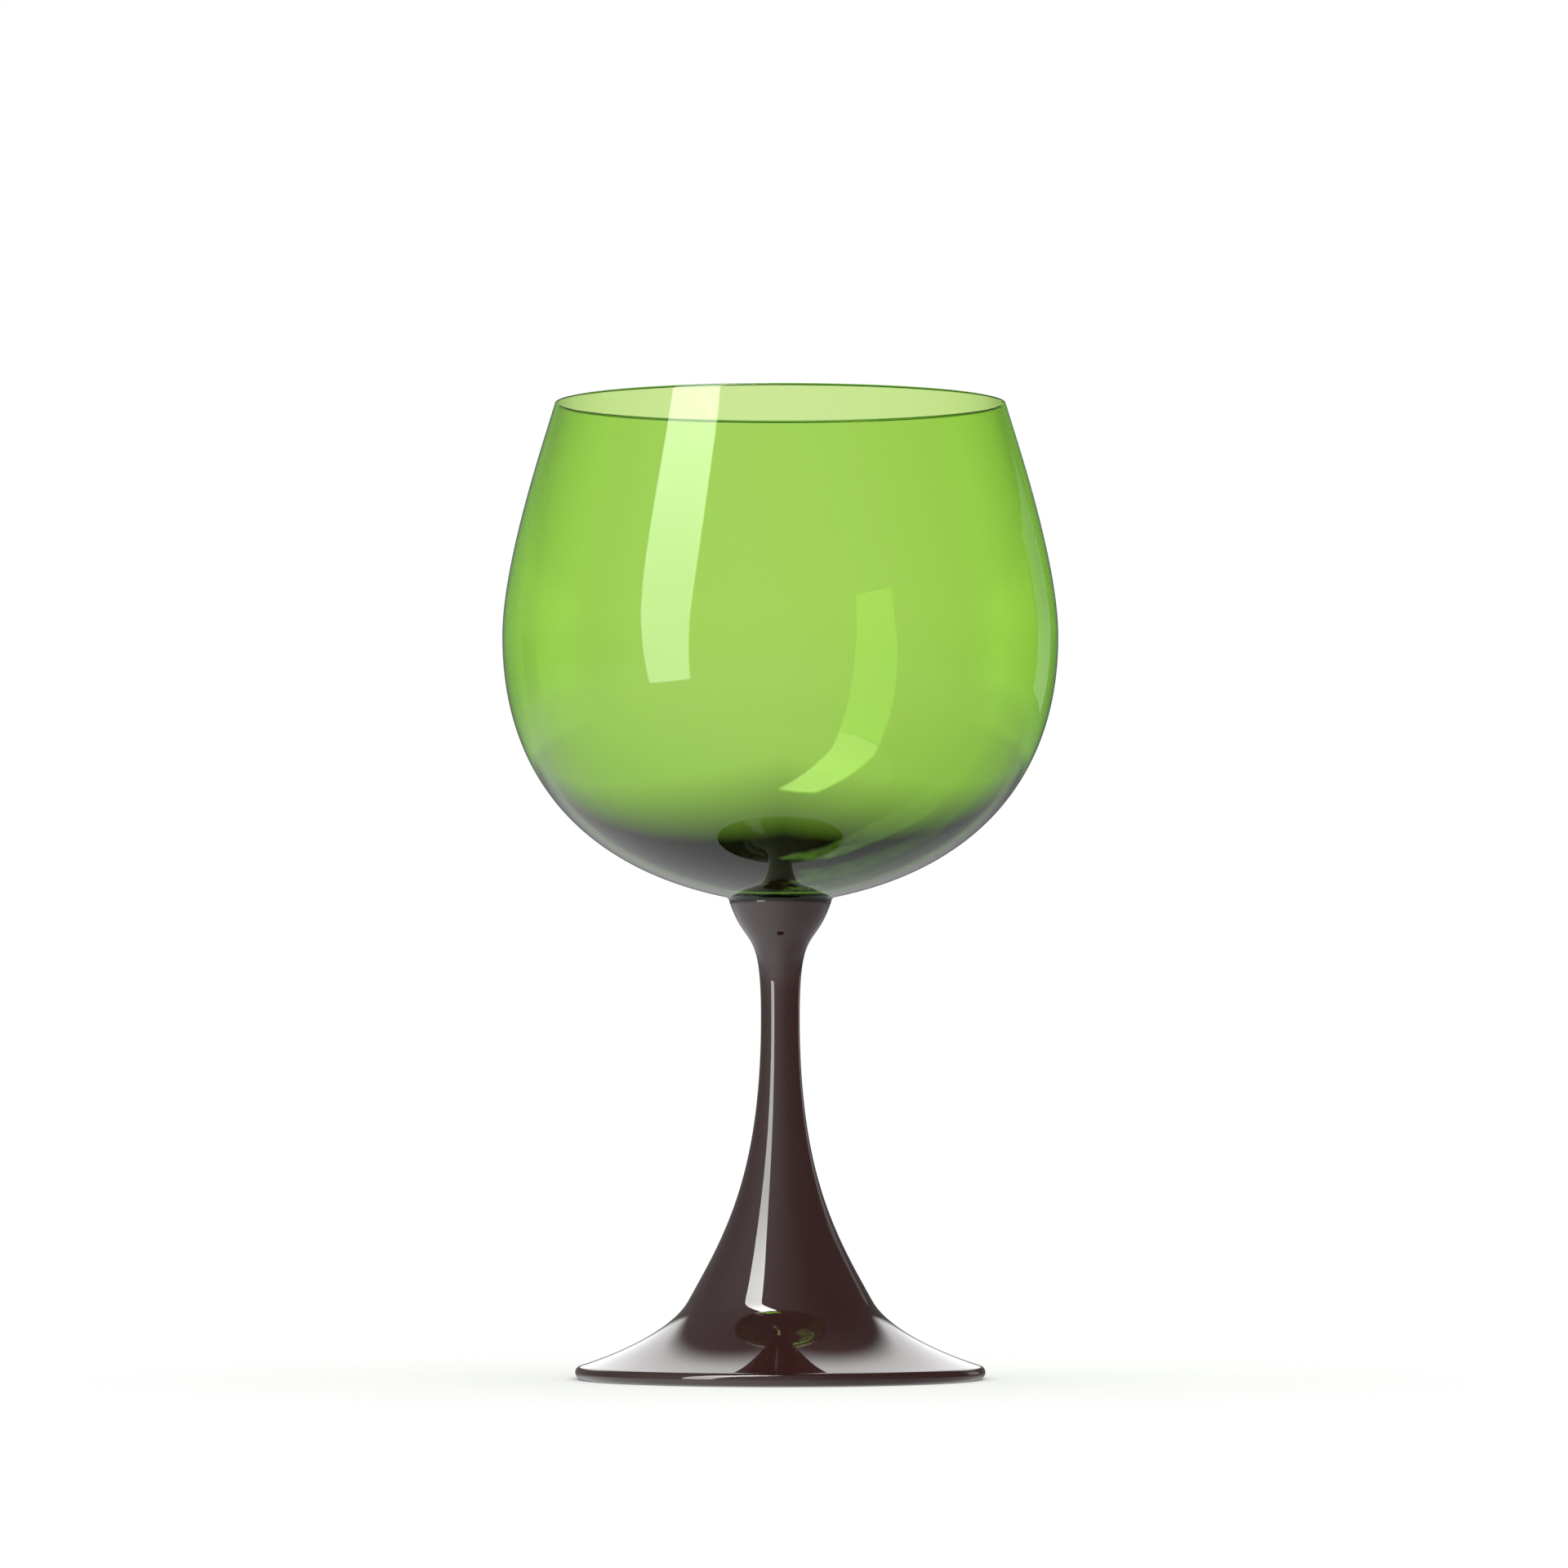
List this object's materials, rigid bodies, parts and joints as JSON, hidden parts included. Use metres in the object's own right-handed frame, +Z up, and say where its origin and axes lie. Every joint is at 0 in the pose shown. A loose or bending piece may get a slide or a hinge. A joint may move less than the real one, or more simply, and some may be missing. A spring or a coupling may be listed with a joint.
{
  "type": "wine glass",
  "caption": "Stemmed wine glass with a green balloon bowl on a violet collar, a hollow trumpet stem and a flared foot, all of blown glass.",
  "frame": {"origin": "on the table, on the axis of the glass, under the middle of the foot", "axes": "+Z up along the axis of the glass; the glass is a body of revolution, so X and Y are alike"},
  "size_m": [0.106, 0.106, 0.186],
  "materials": {
    "green_glass": "clear pistachio-green blown glass, fire-polished",
    "violet_glass": "dense smoky violet blown glass, fire-polished"
  },
  "bodies": {
    "root": {"bowl": "green_glass", "collar": "violet_glass", "stem": "violet_glass", "foot": "violet_glass"}
  },
  "joints": []
}
